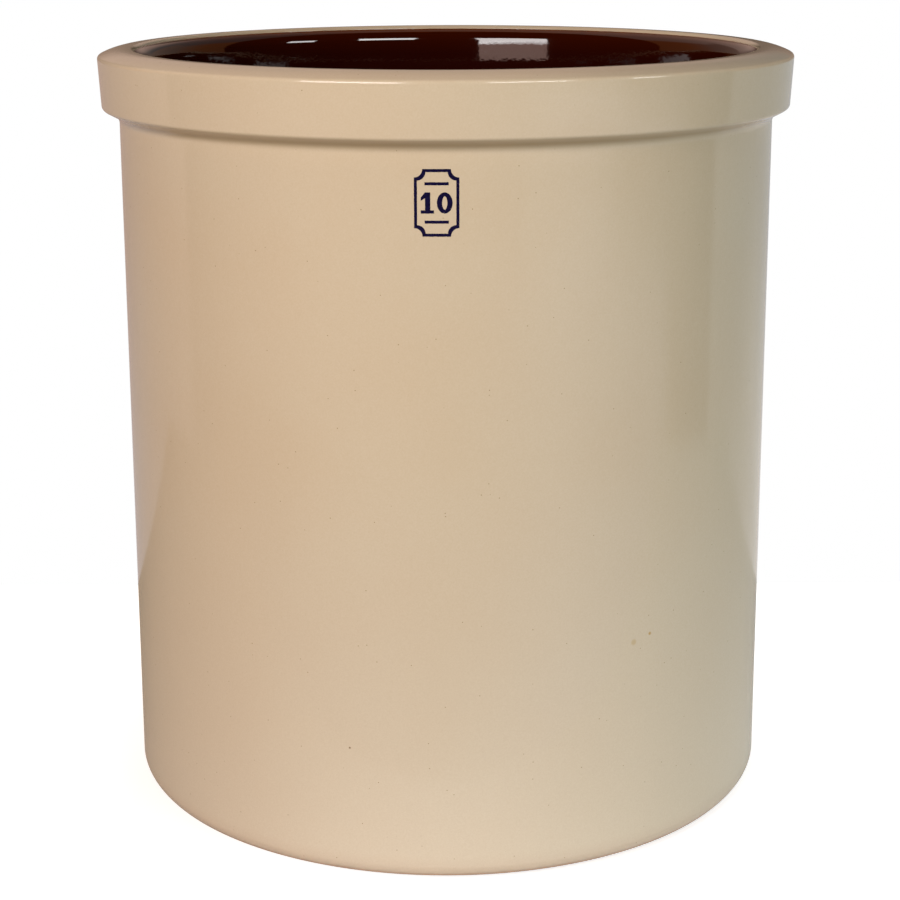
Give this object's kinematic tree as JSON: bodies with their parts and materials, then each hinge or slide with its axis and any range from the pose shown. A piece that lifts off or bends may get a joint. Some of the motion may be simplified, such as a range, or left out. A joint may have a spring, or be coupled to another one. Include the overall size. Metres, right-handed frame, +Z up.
{
  "type": "preserving crock",
  "caption": "Straight-sided open stoneware crock with a raised rim band, cream glaze outside, dark brown glaze inside and a bare clay foot.",
  "frame": {"origin": "centre of the standing ring, in the plane that the crock stands on", "axes": "+Z up along the crock's own axis, out of its mouth; -Y is the front that carries the capacity mark"},
  "size_m": [0.398, 0.398, 0.4364],
  "materials": {
    "fired_clay": "bare, dry fired stoneware",
    "cream_glaze": "opaque cream glaze with a soft gloss and fine orange peel",
    "liner_glaze": "glossy dark brown slip glaze"
  },
  "bodies": {
    "root": {"stoneware_body": "fired_clay", "outer_glaze": "cream_glaze", "inner_glaze": "liner_glaze"}
  },
  "joints": []
}
